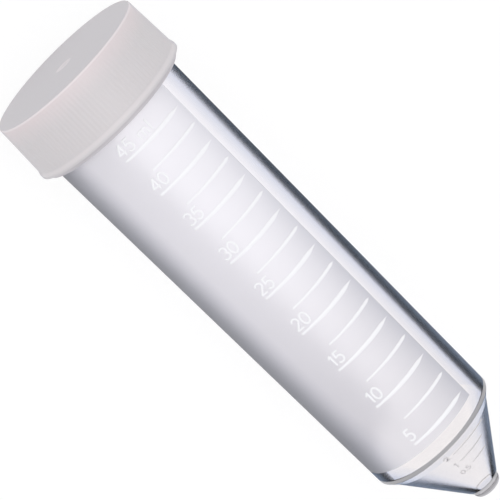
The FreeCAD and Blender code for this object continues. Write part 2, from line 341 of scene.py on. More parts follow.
def cavity(tube):
    """Corners (radius, height) of the cavity's floor and knee, and the heights of its seat and its floor."""
    seat = TUBE_LENGTH - tube.mouth_depth
    slant = tan(tube.cone_angle)
    draft = tan(tube.cavity_draft)
    inset = tube.cone_wall / cos(tube.cone_angle)
    cone_at_zero = tube.tip_radius - tube.tip_length * slant - inset
    body_at_zero = mouth_radius(tube) - seat * draft
    knee = (body_at_zero - cone_at_zero) / (slant - draft)
    return ((cone_at_zero + tube.tip_floor * slant, tube.tip_floor), (cone_at_zero + knee * slant, knee),
            seat, tube.tip_floor)


def cavity_volume(z, tube):
    """What the cavity holds up to a height, in millilitres."""
    low, knee, seat, _ = cavity(tube)
    mouth = mouth_radius(tube)
    corners = [low, knee, (mouth, seat), (mouth, TUBE_LENGTH)]
    total = 0.0
    for (r0, z0), (r1, z1) in zip(corners, corners[1:]):
        if z <= z0:
            break
        top = min(z, z1)
        radius = r0 + (r1 - r0) * (top - z0) / (z1 - z0)
        total += pi * (top - z0) * (r0 * r0 + r0 * radius + radius * radius) / 3
    return total * 1e6


def mark_height(millilitres, tube):
    """Height at which the cavity holds this much, by halving the range."""
    low, high = 0.0, TUBE_LENGTH
    for _ in range(40):
        middle = (low + high) / 2
        low, high = (middle, high) if cavity_volume(middle, tube) < millilitres else (low, middle)
    return low


# In the middle of the gate dimple stands what is left of the sprue.
STUB_HEIGHT, STUB_RADIUS, STUB_FOOT, STUB_ROUND = 0.08 * MM, 0.4 * MM, 0.8 * MM, 0.15 * MM
DIMPLE_SIDE, DIMPLE_ROUND = 0.6 * MM, 0.5 * MM
RIB_FADE, SKIRT_STEP = 0.35 * MM, 1.2 * MM


def cap_section(cap, tube, thread):
    """Rows round the whole cap, from the middle of its face over the lip to the middle of its ceiling."""
    bore = neck_radius(tube) + cap.thread_room
    ceiling = CAP_TOP - cap.top
    rib_top = CAP_TOP - cap.rib_shoulder
    rib_base = CAP_BOTTOM + cap.lip_height
    slant = tan(cap.skirt_draft)

    def crest(z):
        return bore + cap.skirt_wall + cap.rib_height + (rib_top - z) * slant

    lip = crest(rib_base) + cap.lip_flare
    dimple = CAP_TOP - cap.gate_depth
    plug = mouth_radius(tube) - cap.plug_clearance
    rows = rounded([
        (0, dimple + STUB_HEIGHT, 0),
        (STUB_RADIUS, dimple + STUB_HEIGHT, FINE_EDGE),
        (STUB_FOOT, dimple, STUB_ROUND),
        (cap.gate_radius - DIMPLE_SIDE, dimple, DIMPLE_ROUND),
        (cap.gate_radius, CAP_TOP, BROAD_EDGE),
        (crest(CAP_TOP), CAP_TOP, cap.edge_round),
        (crest(rib_base), rib_base, SMALL_EDGE),
        (lip, rib_base - cap.lip_ramp, SOFT_EDGE),
        (lip, CAP_BOTTOM, cap.lip_round),
        (bore + (ceiling - CAP_BOTTOM) * tan(cap.bore_draft), CAP_BOTTOM, SMALL_EDGE),
        (bore, ceiling, SMALL_EDGE),
        (plug, ceiling, 0),
        (plug, ceiling - cap.plug_depth, SOFT_EDGE),
        (plug - cap.plug_wall, ceiling - cap.plug_depth, SMALL_EDGE),
        (plug - cap.plug_wall, ceiling, 0),
        (0, ceiling, 0),
    ], steps=4)
    lowest = min(range(len(rows)), key=lambda i: rows[i].y)
    outside = stepped(rows[:lowest], rib_base, rib_top + SMALL_EDGE, SKIRT_STEP)
    inside = stepped(rows[lowest:], thread.low, thread.high, thread.step)

    def rib_at(x, z):
        on_skirt = x > bore + cap.skirt_wall / 2
        return cap.rib_height * window(z, rib_base - FINE_EDGE, rib_top, RIB_FADE) if on_skirt else 0

    def thread_at(x, z):
        on_bore = bore - FINE_EDGE < x < bore + BROAD_EDGE
        return -cap.thread_height * window(z, thread.low, thread.high, thread.fade) if on_bore else 0

    return [(x, z, 0, rib_at(x, z)) for x, z in outside] + [(x, z, thread_at(x, z), 0) for x, z in inside]


# Geometry Nodes

class Field:
    """A socket that takes part in Python expressions. Each operation adds a Math node."""

    def __init__(self, tree, socket):
        self.tree, self.socket = tree, socket

    def math(self, operation, *values):
        node = self.tree.nodes.new("ShaderNodeMath")
        node.operation = operation
        for slot, value in zip(node.inputs, values or [self]):
            plug_in(self.tree, slot, value)
        return Field(self.tree, node.outputs[0])

    def __add__(self, other): return self.math("ADD", self, other)
    def __sub__(self, other): return self.math("SUBTRACT", self, other)
    def __rsub__(self, other): return self.math("SUBTRACT", other, self)
    def __mul__(self, other): return self.math("MULTIPLY", self, other)
    def __truediv__(self, other): return self.math("DIVIDE", self, other)
    def __pow__(self, other): return self.math("POWER", self, other)
    def __gt__(self, other): return self.math("GREATER_THAN", self, other)
    __radd__, __rmul__ = __add__, __mul__

    def sine(self): return self.math("SINE")
    def cosine(self): return self.math("COSINE")
    def floor(self): return self.math("FLOOR")
    def part(self): return self.math("FRACT")
    def size(self): return self.math("ABSOLUTE")
    def least(self, other): return self.math("MINIMUM", self, other)
    def most(self, other): return self.math("MAXIMUM", self, other)


def plug_in(tree, slot, value):
    """Link a field to a slot, or set the slot to a plain value."""
    if isinstance(value, Field):
        tree.links.new(value.socket, slot)
    else:
        slot.default_value = value


class Recipe:
    """Nodes added to a tree, one call for each."""

    def __init__(self, tree):
        self.tree = tree
        tree.nodes.clear()

    def node(self, kind, values=()):
        """A node. Names in small letters are its settings, which come first, and others its sockets."""
        made = self.tree.nodes.new(kind)
        for name, value in dict(values).items():
            if str(name).islower():
                setattr(made, name, value)
            else:
                plug_in(self.tree, made.inputs[name], value)
        return made

    def fields(self, names, kind, values=()):
        """Some of the outputs of such a node."""
        made = self.node(kind, values)
        return [Field(self.tree, made.outputs[name]) for name in names]

    def field(self, kind, values=(), output=0):
        """One output of such a node."""
        return self.fields([output], kind, values)[0]

    def vector(self, x=0.0, y=0.0, z=0.0):
        return self.field("ShaderNodeCombineXYZ", {"X": x, "Y": y, "Z": z})

    def smooth(self, value, low, high):
        """0 below low and 1 above high, smooth between. The other way round where low is the larger."""
        return self.field("ShaderNodeMapRange", {
            "interpolation_type": "SMOOTHSTEP", 0: value, 1: low, 2: high})


def new_tree(name, *numbers, **others):
    """An empty Geometry Nodes tree and its inputs: a geometry, a material and these, by their labels."""
    tree = bpy.data.node_groups.new(name, "GeometryNodeTree")
    kinds = {"Geometry": "Geometry", **others, **dict.fromkeys(numbers, "Float"), "Material": "Material"}
    for label, kind in kinds.items():
        tree.interface.new_socket(label, in_out="INPUT", socket_type=f"NodeSocket{kind}")
    tree.interface.new_socket("Geometry", in_out="OUTPUT", socket_type="NodeSocketGeometry")
    recipe = Recipe(tree)
    given = recipe.node("NodeGroupInput").outputs
    return recipe, {label: Field(tree, given[label]) for label in kinds}


def close_tree(recipe, geometry, material):
    realized = recipe.field("GeometryNodeRealizeInstances", {"Geometry": geometry})
    coated = recipe.field("GeometryNodeSetMaterial", {"Geometry": realized, "Material": material})
    recipe.node("NodeGroupOutput", {"Geometry": coated})
    return recipe.tree


MERGE_DISTANCE = 0.002 * MM
THREAD_FOOT, THREAD_FLAT = 0.3, 0.14    # half widths of the thread's foot and crest, as shares of its pitch
LINE_CHORDS, LINE_SIDES, STROKE_SIDES = 120, 16, 10
STROKE_STEP = 0.06 * MM


def turned_tree():
    """Turns a section about the Z axis, and cuts its thread and its grip ribs."""
    recipe, given = new_tree("Turned moulding", "Thread Pitch", "Thread Start", Segments="Int", Ribs="Int")
    section, segments = given["Geometry"], given["Segments"]
    rows = recipe.field("GeometryNodeAttributeDomainSize", {"Geometry": section})
    grid = recipe.field("GeometryNodeMeshGrid", {"Vertices X": segments + 1, "Vertices Y": rows})
    index = recipe.field("GeometryNodeInputIndex")
    column = ((index + 0.5) / rows).floor()
    row = index - column * rows

    def sampled(kind, value):
        return recipe.field("GeometryNodeSampleIndex", {
            "data_type": kind, "domain": "POINT", "Geometry": section, "Value": value, "Index": row})

    def named(name):
        return sampled("FLOAT", recipe.field("GeometryNodeInputNamedAttribute", {
            "data_type": "FLOAT", "Name": name}))

    place = sampled("FLOAT_VECTOR", recipe.field("GeometryNodeInputPosition"))
    radius, z = recipe.fields(["X", "Z"], "ShaderNodeSeparateXYZ", {0: place})
    turns = column / segments
    phase = ((z - given["Thread Start"]) / given["Thread Pitch"] - turns).part()
    crest = recipe.smooth((phase - 0.5).size(), THREAD_FOOT, THREAD_FLAT)
    groove = 0.5 - 0.5 * (turns * given["Ribs"] * tau).cosine()
    radius = radius + named("thread") * crest - named("rib") * groove
    angle = turns * tau
    placed = recipe.field("GeometryNodeSetPosition", {
        "Geometry": grid, "Position": recipe.vector(radius * angle.cosine(), radius * angle.sine(), z)})
    merged = recipe.field("GeometryNodeMergeByDistance", {
        "Geometry": placed, "Distance": MERGE_DISTANCE})
    return close_tree(recipe, merged, given["Material"])


def rounded_end(distance, reach):
    """Share of its full width that a bead has this far from a round end of this radius."""
    short = (1 - distance / reach).most(0.0).least(1.0)
    return ((1 - short * short) ** 0.5).most(0.05)


def swept_tree(recipe, given, curve, sides, tilt, share):
    """Sweeps a flat bead along a curve, with this share of its full size at each point."""
    circle = recipe.field("GeometryNodeCurvePrimitiveCircle", {
        "mode": "RADIUS", "Resolution": sides, "Radius": 1.0})
    bead = recipe.field("GeometryNodeTransform", {
        "Geometry": circle, "Scale": recipe.vector(given["Width"] * 0.5, given["Thickness"] * 0.5, 1.0),
        "Rotation": recipe.vector(z=tilt)})
    upright = recipe.field("GeometryNodeSetCurveNormal", {"mode": "Z_UP", "Curve": curve})
    swept = recipe.field("GeometryNodeCurveToMesh", {
        "Curve": upright, "Profile Curve": bead, "Scale": share, "Fill Caps": True})
    return close_tree(recipe, swept, given["Material"])


def lines_tree():
    """Sets a raised bar round the tube at each point, whose radius is in the attribute radius."""
    recipe, given = new_tree("Graduation lines", "Left", "Right", "Width", "Thickness", "Lean", "Point")
    left, right = given["Left"], given["Right"]
    arc = recipe.field("GeometryNodeCurveArc", {
        "mode": "RADIUS", "Resolution": LINE_CHORDS, "Radius": 1.0,
        "Start Angle": left - pi / 2, "Sweep Angle": right - left})
    radius = recipe.field("GeometryNodeInputNamedAttribute", {"data_type": "FLOAT", "Name": "radius"})
    arcs = recipe.field("GeometryNodeInstanceOnPoints", {
        "Points": given["Geometry"], "Instance": arc, "Scale": recipe.vector(radius, radius, 1.0)})
    curves = recipe.field("GeometryNodeRealizeInstances", {"Geometry": arcs})
    along, length = recipe.fields(["Factor", "Length"], "GeometryNodeSplineParameter")
    thin_start = 0.6 + 0.4 * recipe.smooth(along, 0.0, 0.6)
    pointed = recipe.smooth(along, 1.03, 1 - given["Point"])
    return swept_tree(recipe, given, curves, LINE_SIDES, given["Lean"] + pi / 2,
                      pointed * thin_start * rounded_end(length, given["Width"] * 0.3))


def strokes_tree():
    """Sweeps a flat bead along the strokes of a number, with round ends where a stroke isn't closed."""
    recipe, given = new_tree("Number strokes", "Width", "Thickness")
    curves = recipe.field("GeometryNodeMeshToCurve", {"Mesh": given["Geometry"]})
    even = recipe.field("GeometryNodeResampleCurve", {
        "mode": "LENGTH", "Curve": curves, "Length": STROKE_STEP})
    along = recipe.field("GeometryNodeSplineParameter", output="Length")
    whole = recipe.field("GeometryNodeSplineLength", output="Length")
    closed = recipe.field("GeometryNodeInputSplineCyclic")
    round_ends = rounded_end(along.least(whole - along), given["Width"] * 0.5)
    return swept_tree(recipe, given, even, STROKE_SIDES, 0.0, round_ends.most(closed))


def grow(name, points, edges, attributes, tree, values):
    """Run a tree on points and edges, and return the result as a plain mesh."""
    start = bpy.data.meshes.new(name)
    start.from_pydata(points, edges, [])
    for label, numbers in attributes.items():
        start.attributes.new(label, "FLOAT", "POINT").data.foreach_set("value", numbers)
    holder = bpy.data.objects.new(name, start)
    bpy.context.scene.collection.objects.link(holder)
    modifier = holder.modifiers.new(name, "NODES")
    modifier.node_group = tree
    for item in tree.interface.items_tree:
        if item.in_out == "INPUT" and item.name in values:
            modifier[item.identifier] = values[item.name]
    graph = bpy.context.evaluated_depsgraph_get()
    mesh = bpy.data.meshes.new_from_object(holder.evaluated_get(graph))
    bpy.data.objects.remove(holder)
    return mesh


def turned_mesh(name, section, segments, ribs, thread, material):
    """A section of rows (radius, height, thread, rib), turned about the tube's axis."""
    return grow(name, [(x, 0, z) for x, z, _, _ in section], [(i, i + 1) for i in range(len(section) - 1)],
                {"thread": [row[2] for row in section], "rib": [row[3] for row in section]}, turned_tree(),
                {"Segments": segments, "Ribs": ribs, "Thread Pitch": thread.pitch,
                 "Thread Start": thread.low, "Material": material})


SHARP_ANGLE = radians(40)


def finished(name, meshes, body, node=None):
    """One object of these meshes, in place on its body, with its faces outwards and its creases sharp."""
    joined = bmesh.new()
    materials = []
    for mesh in meshes:
        start = len(joined.faces)
        joined.from_mesh(mesh)
        joined.faces.ensure_lookup_table()
        lookup = []
        for material in mesh.materials:
            if material not in materials:
                materials.append(material)
            lookup.append(materials.index(material))
        for face in joined.faces[start:]:
            face.material_index = lookup[face.material_index] if lookup else 0
    bmesh.ops.recalc_face_normals(joined, faces=joined.faces)
    joined.transform(PLACE)
    result = bpy.data.meshes.new(name)
    joined.to_mesh(result)
    joined.free()
    for material in materials:
        result.materials.append(material)
    result.shade_smooth()
    result.set_sharp_from_angle(angle=SHARP_ANGLE)
    piece = bpy.data.objects.new(name, result)
    bpy.context.scene.collection.objects.link(piece)
    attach(piece, body)
    if node:
        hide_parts(node)
    return piece


# Numbers, drawn as strokes in a field that is 1 high. A stroke is a list of points and of arcs, which are
# (middle x, middle y, radius x, radius y, first angle, last angle).

STROKES = {
    "0": (0.62, [[(0.31, 0.5, 0.29, 0.5, 0, 345)]]),
    "1": (0.36, [[(0.04, 0.76), (0.26, 1.0), (0.26, 0.0)]]),
    "2": (0.60, [[(0.3, 0.72, 0.26, 0.28, 170, -35), (0.04, 0.0), (0.58, 0.0)]]),
    "3": (0.60, [[(0.29, 0.75, 0.25, 0.25, 160, -80)], [(0.29, 0.27, 0.29, 0.27, 85, -160)]]),
    "4": (0.64, [[(0.46, 0.0), (0.46, 1.0), (0.02, 0.3), (0.62, 0.3)]]),
    "5": (0.60, [[(0.54, 1.0), (0.12, 1.0), (0.07, 0.56), (0.28, 0.31, 0.28, 0.31, 118, -150)]]),
    ".": (0.20, [[(0.1, 0.0), (0.1, 0.22)]]),
    "m": (0.92, [[(0.05, 0.62), (0.05, 0.0)], [(0.24, 0.42, 0.19, 0.2, 180, 0), (0.43, 0.0)],
                 [(0.62, 0.42, 0.19, 0.2, 180, 0), (0.81, 0.0)]]),
    "l": (0.20, [[(0.08, 1.0), (0.08, 0.0)]]),
    " ": (0.34, []),
}
LETTER_GAP = 0.14
ARC_CHORDS = 16


def stroke_points(stroke):
    """Points along a stroke, with its arcs cut into short chords."""
    points = []
    for step in stroke:
        if len(step) == 2:
            points.append(step)
            continue
        x, y, wide, high, first, last = step
        for k in range(ARC_CHORDS + 1):
            angle = radians(first + (last - first) * k / ARC_CHORDS)
            points.append((x + wide * cos(angle), y + high * sin(angle)))
    return points


def text_width(text, height):
    return (sum(STROKES[letter][0] + LETTER_GAP for letter in text) - LETTER_GAP) * height


def number_mesh(text, height, width, thickness, material):
    """Raised text as a mesh, standing on y = 0 from x = 0, in the XY plane."""
    points, edges, left = [], [], 0.0
    for letter in text:
        advance, strokes = STROKES[letter]
        for stroke in strokes:
            path = stroke_points(stroke)
            first = len(points)
            points += [((left + x) * height, y * height, 0) for x, y in path]
            edges += [(first + k, first + k + 1) for k in range(len(path) - 1)]
            if letter == "0":
                edges.append((len(points) - 1, first))
        left += advance + LETTER_GAP
    return grow(f"number_{text.replace(' ', '_')}", points, edges, {}, strokes_tree(),
                {"Width": width, "Thickness": thickness, "Material": material})


def wrap(mesh, left, foot, tube, lean, out):
    """Bend flat text round the tube, from an angle and a height, with its middle plane this far out."""
    for vertex in mesh.vertices:
        x, y, rise = vertex.co
        rise += out
        z = foot + y * cos(lean)
        surface = tube_outside_radius(z, tube)
        angle = left + x / surface - pi / 2
        radius = surface + rise * cos(lean)
        vertex.co = (radius * cos(angle), radius * sin(angle), z - rise * sin(lean))
    return mesh


# Materials

IOR = 1.49              # of polypropylene
SHADE_COVER = 0.8       # how much of the clear wall the painted grey shade on the shoulder's edge and the tip hides
CLOUD_SHARE = 0.5       # of the satin panel, beside the haze that is seen through it
SHADOW_LOST = 0.8       # share of its shadow that the clear wall doesn't cast
GLOW_SHARE = 0.85       # of the floor, where it is seen
WALL_SKIN = 0.4 * MM    # what lies deeper than this isn't the outside
NEAR_CAP_FROM = 80 * MM     # the wall is at its brightest from this height up
SHADE_RING_STARTS, SHADE_RING_ENDS = (-0.05 * MM, 0.1 * MM), (0.95 * MM, 0.75 * MM)    # painted shade ring, above the edge of the shoulder
SHADED_TIP_ENDS, SHADED_TIP_BORE = (2.5 * MM, 2.1 * MM), (2.0 * MM, 2.5 * MM)            # painted shade on the blunt tip: above the tip, and from the axis
SHADE_RIGHT_HEIGHTS, LIGHT_LEFT_HEIGHTS = (110 * MM, 40 * MM), (22 * MM, 40 * MM)     # heights of the painted shade on the right and of the painted light on the left of the satin panel
# angles from the front where the painted light on the left of the satin panel starts and where it is full
LIGHT_LEFT_ANGLES = radians(-4), radians(-24)


def painted(name, look, *settings):
    """A material with the surface that look makes from a recipe and these settings."""
    material = bpy.data.materials.new(name)
    material.use_nodes = True
    recipe = Recipe(material.node_tree)
    recipe.node("ShaderNodeOutputMaterial", {"Surface": look(recipe, *settings)})
    return material


def tube_coordinates(recipe):
    """Height above the tip, angle from the middle of the front and radius, on the tube's own axes."""
    here = recipe.field("ShaderNodeTexCoord", output="Object")
    offset = recipe.field("ShaderNodeVectorMath", {"operation": "SUBTRACT", 0: here, 1: TIP})

    def along(direction):
        return recipe.field("ShaderNodeVectorMath", {
            "operation": "DOT_PRODUCT", 0: offset, 1: direction}, "Value")

    x, y = along(RIGHT), along(FRONT)
    return along(UP), x.math("ARCTAN2", x, y), (x * x + y * y) ** 0.5


def facing_away(recipe):
    """0 where the surface is seen square on, 1 where it is seen along."""
    return recipe.field("ShaderNodeLayerWeight", {"Blend": 0.5}, output="Facing")


def ray_is(recipe, *kinds):
    """1 for a ray of one of these kinds, 0 for any other."""
    return sum(recipe.fields([f"Is {kind} Ray" for kind in kinds], "ShaderNodeLightPath")).least(1.0)


def grain(recipe, scale, detail=3.0):
    """Noise between 0 and 1 over the object, of this many cells to the metre."""
    return recipe.field("ShaderNodeTexNoise", {
        "Vector": recipe.field("ShaderNodeTexCoord", output="Object"), "Scale": scale, "Detail": detail})


def bump(recipe, height, distance, strength):
    return recipe.field("ShaderNodeBump", {
        "Strength": strength, "Distance": distance, "Height": height})


def blend(recipe, factor, first, second):
    """Colour that goes from first to second."""
    first, second = (paint if isinstance(paint, Field) else (*paint, 1) for paint in (first, second))
    return recipe.field("ShaderNodeMix", {"data_type": "RGBA", 0: factor, 6: first, 7: second}, 2)


def speckled(recipe, noise, paint, dark=0.96):
    """The colour with faint specks, the darkest of them this dark."""
    return blend(recipe, noise, [c * dark for c in paint], paint)


def mixed(recipe, factor, first, second):
    """Surface that goes from first to second."""
    return recipe.field("ShaderNodeMixShader", {0: factor, 1: first, 2: second})


def opaque(recipe, paint, roughness, more=()):
    return recipe.field("ShaderNodeBsdfPrincipled", {
        "Base Color": paint, "Roughness": roughness, "IOR": IOR, **dict(more)})


def see_through(recipe, paint, roughness, normal):
    return recipe.field("ShaderNodeBsdfRefraction", {
        "Color": (*paint, 1), "IOR": IOR, "Roughness": roughness, "Normal": normal})


def clear_wall(recipe, finish, facing, toward_cap):
    """The bare wall: what is seen through it, with painted shade and a gleam in a painted cool blue where it is
    seen along.
    """
    smudge = grain(recipe, 90)
    roughness = 0.02 + smudge * 0.03 + 0.18 * recipe.smooth(facing, 0.35, 0.6)
    dents = bump(recipe, smudge, 0.05 * MM, 0.2)
    # Painted shade: where the wall is seen along, what is seen through it is tinted darker and cooler
    thick, lighter, along = (see_through(recipe, paint, roughness, dents)
                          for paint in (finish.plastic, finish.plastic_thin, finish.plastic_along))
    # Painted reflection: the gleam where the wall is seen along is tinted cool blue
    gleam, sheen = (recipe.field("ShaderNodeBsdfAnisotropic", {
        "Color": (*paint, 1), "Roughness": 0.05 + smudge * 0.05})
        for paint in (finish.plastic_gleam, finish.thick_gleam))
    wall = mixed(recipe, recipe.smooth(facing, 0.36, 0.56), mixed(recipe, toward_cap, thick, lighter), along)
    mirror = mixed(recipe, recipe.smooth(facing, 0.65, 0.5), gleam, sheen)
    mirrored = 0.03 + (0.3 - 0.2 * toward_cap) * recipe.smooth(facing, 0.55, 0.85)
    return mixed(recipe, mirrored, wall, mirror)


def satin_panel(recipe, finish, z, angle, facing, toward_cap, fine):
    """The satin panel, a cloudy surface and a haze, with painted shade towards its sides and its right, and
    painted light on its left.
    """
    # Painted shade where the panel is seen along and towards its right, low down; painted light on its left,
    # higher up
    painted_shade_right = recipe.smooth(angle, 0.0, finish.panel_right * 1.1) * recipe.smooth(z, *SHADE_RIGHT_HEIGHTS)
    painted_light_left = (0.09 + 0.14 * recipe.smooth(z, *LIGHT_LEFT_HEIGHTS)) * recipe.smooth(angle, *LIGHT_LEFT_ANGLES)
    dark = recipe.smooth(facing, 0.05, 0.75) + 0.3 * painted_shade_right - painted_light_left
    roughness, dents = 0.38 + fine * 0.1, bump(recipe, fine, 0.02 * MM, 0.3)
    low, high, side = (see_through(recipe, paint, roughness, dents)
                       for paint in (finish.frost, finish.frost_thin, finish.frost_edge))
    haze = mixed(recipe, dark, mixed(recipe, toward_cap, low, high), side)
    paint = blend(recipe, dark, blend(recipe, toward_cap, finish.frost, finish.frost_thin), finish.frost_edge)
    return mixed(recipe, CLOUD_SHARE, haze, opaque(recipe, paint, 0.5 + fine * 0.1, {"Normal": dents}))


def tube_plastic(recipe, finish, tube):
    """Clear polypropylene, satin over most of the body, and painted grey shade on the edge of the shoulder and on
    the blunt tip.
    """
    z, angle, radius = tube_coordinates(recipe)
    shoulder = shoulder_heights(tube)[1]
    facing, fine = facing_away(recipe), grain(recipe, 2600, 2)
    # Brighter towards the cap, from the tip up to its full height
    toward_cap = recipe.smooth(z, 0.0, NEAR_CAP_FROM)
    outside = radius > (z - shoulder) * tan(tube.body_draft) + (tube.shoulder_radius - WALL_SKIN)
    from_air = 1 - recipe.field("ShaderNodeNewGeometry", output="Backfacing")
    # Painted shade: a grey ring on the outside of the shoulder's edge and grey on the blunt tip
    ring = recipe.smooth(z - shoulder, *SHADE_RING_STARTS) * recipe.smooth(z - shoulder, *SHADE_RING_ENDS) * outside
    tip = recipe.smooth(z, *SHADED_TIP_ENDS) * recipe.smooth(radius, *SHADED_TIP_BORE)
    thick = opaque(recipe, speckled(recipe, fine, finish.thick), 0.3 + fine * 0.1)
    bare = mixed(recipe, ring.most(tip) * from_air * SHADE_COVER,
                 clear_wall(recipe, finish, facing, toward_cap), thick)
    side_blur, low_blur = radians(0.3), 0.06 * MM
    panel = (recipe.smooth(angle, finish.panel_right + side_blur, finish.panel_right - side_blur)
             * recipe.smooth(angle, finish.panel_left - side_blur, finish.panel_left + side_blur)
             * recipe.smooth(z, finish.panel_low - low_blur, finish.panel_low + low_blur) * outside)
    surface = mixed(recipe, panel, bare, satin_panel(recipe, finish, z, angle, facing, toward_cap, fine))
    return mixed(recipe, ray_is(recipe, "Shadow") * SHADOW_LOST, surface,
                 recipe.field("ShaderNodeBsdfTransparent"))


def mark_plastic(recipe, finish):
    """The same plastic where it stands out as lines and numbers, which look whiter than the panel."""
    fine = grain(recipe, 1800, 2)
    return opaque(recipe, speckled(recipe, fine, finish.marks), 0.35 + fine * 0.15,
                  {"Normal": bump(recipe, fine, 0.02 * MM, 0.3)})


def cone_mark_plastic(recipe, finish):
    """Fine lines on the clear cone, in a painted grey shade darker than the wall behind them."""
    fine = grain(recipe, 1800, 2)
    return opaque(recipe, blend(recipe, fine, finish.cone_marks_dark, finish.cone_marks), 0.3 + fine * 0.1)


def cap_plastic(recipe, finish, cap):
    """Matte polyethylene with a faint moulded grain, with painted light and highlights on its skirt and edges,
    painted shade on its face, its lip band and where it is seen along, and a paler gate mark.
    """
    z, _, radius = tube_coordinates(recipe)
    cloud, fine = grain(recipe, 140), grain(recipe, 2200, 2)
    face = recipe.smooth(z, CAP_TOP - 0.2 * MM, CAP_TOP - 0.02 * MM)
    # Painted light: warmer and paler on the skirt under the top
    warm_light = recipe.smooth(z, CAP_TOP - 5 * MM, CAP_TOP) * (1 - face)
    # Painted highlight along the top edge
    crease_highlight = recipe.smooth(z, CAP_TOP - 0.6 * MM, CAP_TOP - 0.2 * MM) * (1 - face)
    ramp = CAP_BOTTOM + cap.lip_height
    # Painted shade on the lip band
    lip = recipe.smooth(z, ramp - cap.lip_ramp * 1.2, ramp - cap.lip_ramp * 2.2)
    # Painted highlight up the lip ramp
    ramp_highlight = recipe.smooth((z - ramp + cap.lip_ramp * 0.7).size(), 0.6 * MM, 0.1 * MM)
    gate = recipe.smooth(radius, cap.gate_radius * 1.3, cap.gate_radius * 0.3) * face
    # Painted shade where the cap is seen along, off its face
    rim_shade = recipe.smooth(facing_away(recipe), 0.74, 0.92) * (1 - face)
    plain = speckled(recipe, cloud, finish.cap, 0.98)
    warm = blend(recipe, warm_light, plain, finish.cap_warm)
    # Painted shade on the lip band and on the face
    shaded = blend(recipe, lip * 0.6 + face * 0.35, warm, finish.cap_shade)
    # Painted highlight along the top edge and up the lip ramp, and a paler gate mark
    pale = blend(recipe, crease_highlight * 0.7 + ramp_highlight * 0.3 + gate * 0.25, shaded, finish.cap_edge)
    return opaque(recipe, blend(recipe, rim_shade * 0.9, pale, finish.cap_shade), 0.42 + fine * 0.12, {
        "IOR": 1.5, "Subsurface Weight": 0.15, "Subsurface Radius": (1.0, 0.9, 0.85),
        "Subsurface Scale": 1.2 * MM, "Normal": bump(recipe, fine, 0.02 * MM, 0.25)})


def floor_paper(recipe, stage):
    """Pale floor that looks white where nothing shades it."""
    paper = recipe.field("ShaderNodeBsdfDiffuse", {"Color": (*stage.paper, 1)})
    glow = recipe.field("ShaderNodeEmission", {"Color": (1, 1, 1, 1), "Strength": stage.paper_glow})
    return mixed(recipe, ray_is(recipe, "Camera", "Glossy", "Transmission") * GLOW_SHARE, paper, glow)


# Operators

class OBJECT_OT_tube_moulding(bpy.types.Operator):
    """Make the tube: neck, drafted body, bevelled shoulder, cone and blunt tip in one clear wall"""
    bl_idname = "object.tube_moulding"
    bl_label = "Tube moulding"

    def execute(self, context):
        scene = context.scene
        tube, thread = scene.tube_sizes, scene.tube_thread
        mesh = turned_mesh("tube_moulding", tube_section(tube, thread), tube.segments, 0, thread,
                           painted("clear_polypropylene", tube_plastic, scene.tube_finish, tube))
        finished("tube_moulding", [mesh], "tube", "tube")
        return {"FINISHED"}


MAJOR_ML = range(5, 50, 5)
MINOR_ML = [ml + 2.5 for ml in MAJOR_ML[:-1]]
CONE_MARKS = (("2", 2, 1.0), ("1", 1, 1.0), ("0.5", 0.5, 0.7))    # text, millilitres, share of full height
CONE_DIGIT_DROP = 0.6    # share of a digit's height that lies below its line


class OBJECT_OT_tube_graduations(bpy.types.Operator):
    """Make the raised lines and numbers of the graduations"""
    bl_idname = "object.tube_graduations"
    bl_label = "Graduations"

    def execute(self, context):
        scene = context.scene
        tube, marks = scene.tube_sizes, scene.tube_marks
        white = painted("raised_marks", mark_plastic, scene.tube_finish)
        grey = painted("cone_marks", cone_mark_plastic, scene.tube_finish)
        tree = lines_tree()

        def lines(name, volumes, left, width, point, proud=marks.proud, lean=0, material=white):
            heights = [mark_height(ml, tube) for ml in volumes]
            radii = [tube_outside_radius(z, tube) + (proud - marks.root) / 2 for z in heights]
            return grow(name, [(0, 0, z) for z in heights], [], {"radius": radii}, tree, {
                "Left": left, "Right": marks.cone_right if lean else marks.line_right, "Width": width,
                "Thickness": proud + marks.root, "Lean": lean, "Point": point, "Material": material})

        def number(text, foot, left, height, stroke, proud=marks.proud, lean=0, material=white):
            mesh = number_mesh(text, height, stroke, proud + marks.root, material)
            return wrap(mesh, left, foot, tube, lean, (proud - marks.root) / 2)

        made = [lines("major_lines", MAJOR_ML, marks.major_left, marks.major_width, marks.major_point),
                lines("minor_lines", MINOR_ML, marks.minor_left, marks.minor_width, marks.minor_point)]
        for ml in MAJOR_ML:
            text = f"{ml} {marks.unit}" if ml == MAJOR_ML[-1] else str(ml)
            foot = mark_height(ml, tube) + (marks.major_width + marks.digit_stroke) / 2 + marks.digit_gap
            made.append(number(text, foot, marks.major_left, marks.digit_height, marks.digit_stroke))
        on_cone = marks.cone_proud, tube.cone_angle, grey
        for text, ml, share_of_height in CONE_MARKS:
            left = marks.half_left if ml < 1 else marks.cone_left
            made.append(lines(f"cone_line_{text}", [ml], left, marks.cone_width, marks.minor_point, *on_cone))
            height = marks.cone_digit_height * share_of_height
            foot = mark_height(ml, tube) - height * CONE_DIGIT_DROP * cos(tube.cone_angle)
            start = left - (text_width(text, height) + marks.cone_digit_gap) / tube_outside_radius(foot, tube)
            made.append(number(text, foot, start, height, marks.cone_stroke, *on_cone))
        finished("graduations", made, "tube")
        return {"FINISHED"}


